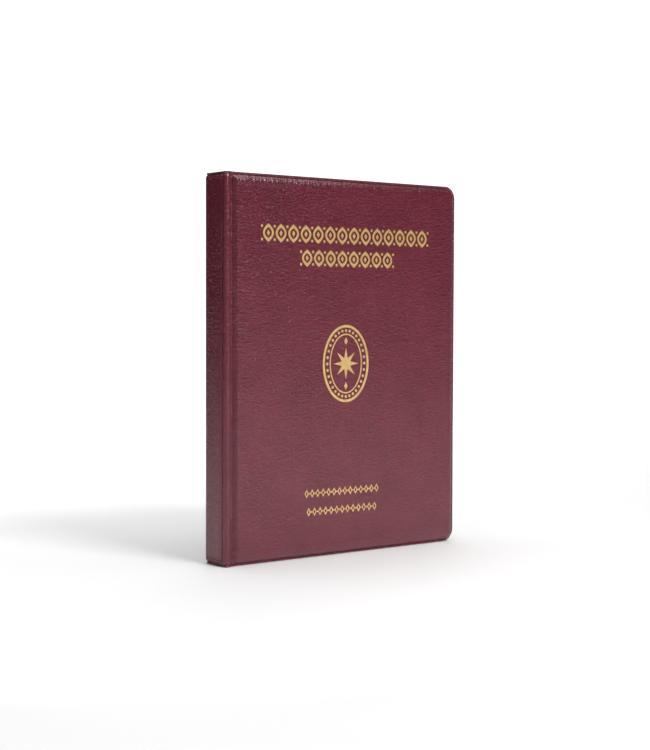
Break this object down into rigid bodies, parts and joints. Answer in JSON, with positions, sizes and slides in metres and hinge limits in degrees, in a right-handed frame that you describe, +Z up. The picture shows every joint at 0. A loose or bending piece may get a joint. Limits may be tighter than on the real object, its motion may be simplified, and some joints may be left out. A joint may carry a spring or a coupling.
{
  "type": "pressed coin pocket album",
  "caption": "Closed pocket album with a padded heat-sealed vinyl cover on two flexible hinges, holding clear vinyl leaves of small upright coin pockets.",
  "frame": {"origin": "middle of the standing footprint: halfway from spine face to fore-edge and between the two cover faces, on the surface it stands on", "axes": "+Z up along the spine, +X from the spine to the fore-edge, -Y out of the front cover"},
  "size_m": [0.126, 0.016, 0.16],
  "materials": {
    "cover_vinyl": "burgundy heat-sealed vinyl with a fine leather grain, satin",
    "lining_vinyl": "burgundy vinyl lining with a finer grain, matt",
    "clear_vinyl": "clear flexible vinyl film, glossy",
    "foam": "off-white soft foam sheet",
    "board": "grey-brown binder's board, matt",
    "foil": "gold hot-stamping foil, satin metallic"
  },
  "bodies": {
    "spine": {"spine_skin": "cover_vinyl", "spine_foam_pad": "foam", "spine_board": "board", "spine_lining": "lining_vinyl", "front_hinge_skin": "cover_vinyl", "front_hinge_lining": "lining_vinyl", "back_hinge_skin": "cover_vinyl", "back_hinge_lining": "lining_vinyl", "binding_strip": "clear_vinyl"},
    "front_cover": {"front_cover_skin": "cover_vinyl", "front_cover_foam_pad": "foam", "front_cover_board": "board", "front_cover_lining": "lining_vinyl"},
    "back_cover": {"back_cover_skin": "cover_vinyl", "back_cover_foam_pad": "foam", "back_cover_board": "board", "back_cover_lining": "lining_vinyl"},
    "leaf_1": {"leaf_1_film": "clear_vinyl", "leaf_1_pockets_bottom": "clear_vinyl", "leaf_1_pockets_middle": "clear_vinyl", "leaf_1_pockets_top": "clear_vinyl"},
    "leaf_2": {"leaf_2_film": "clear_vinyl", "leaf_2_pockets_bottom": "clear_vinyl", "leaf_2_pockets_middle": "clear_vinyl", "leaf_2_pockets_top": "clear_vinyl"},
    "leaf_3": {"leaf_3_film": "clear_vinyl", "leaf_3_pockets_bottom": "clear_vinyl", "leaf_3_pockets_middle": "clear_vinyl", "leaf_3_pockets_top": "clear_vinyl"},
    "leaf_4": {"leaf_4_film": "clear_vinyl", "leaf_4_pockets_bottom": "clear_vinyl", "leaf_4_pockets_middle": "clear_vinyl", "leaf_4_pockets_top": "clear_vinyl"},
    "leaf_5": {"leaf_5_film": "clear_vinyl", "leaf_5_pockets_bottom": "clear_vinyl", "leaf_5_pockets_middle": "clear_vinyl", "leaf_5_pockets_top": "clear_vinyl"},
    "leaf_6": {"leaf_6_film": "clear_vinyl", "leaf_6_pockets_bottom": "clear_vinyl", "leaf_6_pockets_middle": "clear_vinyl", "leaf_6_pockets_top": "clear_vinyl"},
    "leaf_7": {"leaf_7_film": "clear_vinyl", "leaf_7_pockets_bottom": "clear_vinyl", "leaf_7_pockets_middle": "clear_vinyl", "leaf_7_pockets_top": "clear_vinyl"},
    "leaf_8": {"leaf_8_film": "clear_vinyl", "leaf_8_pockets_bottom": "clear_vinyl", "leaf_8_pockets_middle": "clear_vinyl", "leaf_8_pockets_top": "clear_vinyl"}
  },
  "joints": [
    {"name": "front_cover_hinge", "type": "hinge", "parent": "spine", "child": "front_cover", "pos_m": [-0.0611, -0.0061, 0.08], "axis": [0, 0, -1], "range_deg": [0, 90], "deforming": ["front_hinge_skin", "front_hinge_lining"]},
    {"name": "back_cover_hinge", "type": "hinge", "parent": "spine", "child": "back_cover", "pos_m": [-0.0611, 0.0061, 0.08], "axis": [0, 0, 1], "range_deg": [0, 90], "deforming": ["back_hinge_skin", "back_hinge_lining"]},
    {"name": "leaf_1_hinge", "type": "hinge", "parent": "spine", "child": "leaf_1", "pos_m": [-0.0555, -0.00405, 0.08], "axis": [0, 0, -1], "range_deg": [0, 81]},
    {"name": "leaf_2_hinge", "type": "hinge", "parent": "spine", "child": "leaf_2", "pos_m": [-0.0555, -0.00285, 0.08], "axis": [0, 0, -1], "range_deg": [0, 58]},
    {"name": "leaf_3_hinge", "type": "hinge", "parent": "spine", "child": "leaf_3", "pos_m": [-0.0555, -0.00165, 0.08], "axis": [0, 0, -1], "range_deg": [0, 35]},
    {"name": "leaf_4_hinge", "type": "hinge", "parent": "spine", "child": "leaf_4", "pos_m": [-0.0555, -0.00045, 0.08], "axis": [0, 0, -1], "range_deg": [0, 12]},
    {"name": "leaf_5_hinge", "type": "hinge", "parent": "spine", "child": "leaf_5", "pos_m": [-0.0555, 0.00075, 0.08], "axis": [0, 0, 1], "range_deg": [0, 12]},
    {"name": "leaf_6_hinge", "type": "hinge", "parent": "spine", "child": "leaf_6", "pos_m": [-0.0555, 0.00195, 0.08], "axis": [0, 0, 1], "range_deg": [0, 35]},
    {"name": "leaf_7_hinge", "type": "hinge", "parent": "spine", "child": "leaf_7", "pos_m": [-0.0555, 0.00315, 0.08], "axis": [0, 0, 1], "range_deg": [0, 58]},
    {"name": "leaf_8_hinge", "type": "hinge", "parent": "spine", "child": "leaf_8", "pos_m": [-0.0555, 0.00435, 0.08], "axis": [0, 0, 1], "range_deg": [0, 81]}
  ],
  "couplings": [
    {"joint": "leaf_1_hinge", "follows": "front_cover_hinge", "ratio": 0.889},
    {"joint": "leaf_2_hinge", "follows": "front_cover_hinge", "ratio": 0.635},
    {"joint": "leaf_3_hinge", "follows": "front_cover_hinge", "ratio": 0.381},
    {"joint": "leaf_4_hinge", "follows": "front_cover_hinge", "ratio": 0.127},
    {"joint": "leaf_5_hinge", "follows": "back_cover_hinge", "ratio": 0.127},
    {"joint": "leaf_6_hinge", "follows": "back_cover_hinge", "ratio": 0.381},
    {"joint": "leaf_7_hinge", "follows": "back_cover_hinge", "ratio": 0.635},
    {"joint": "leaf_8_hinge", "follows": "back_cover_hinge", "ratio": 0.889}
  ]
}
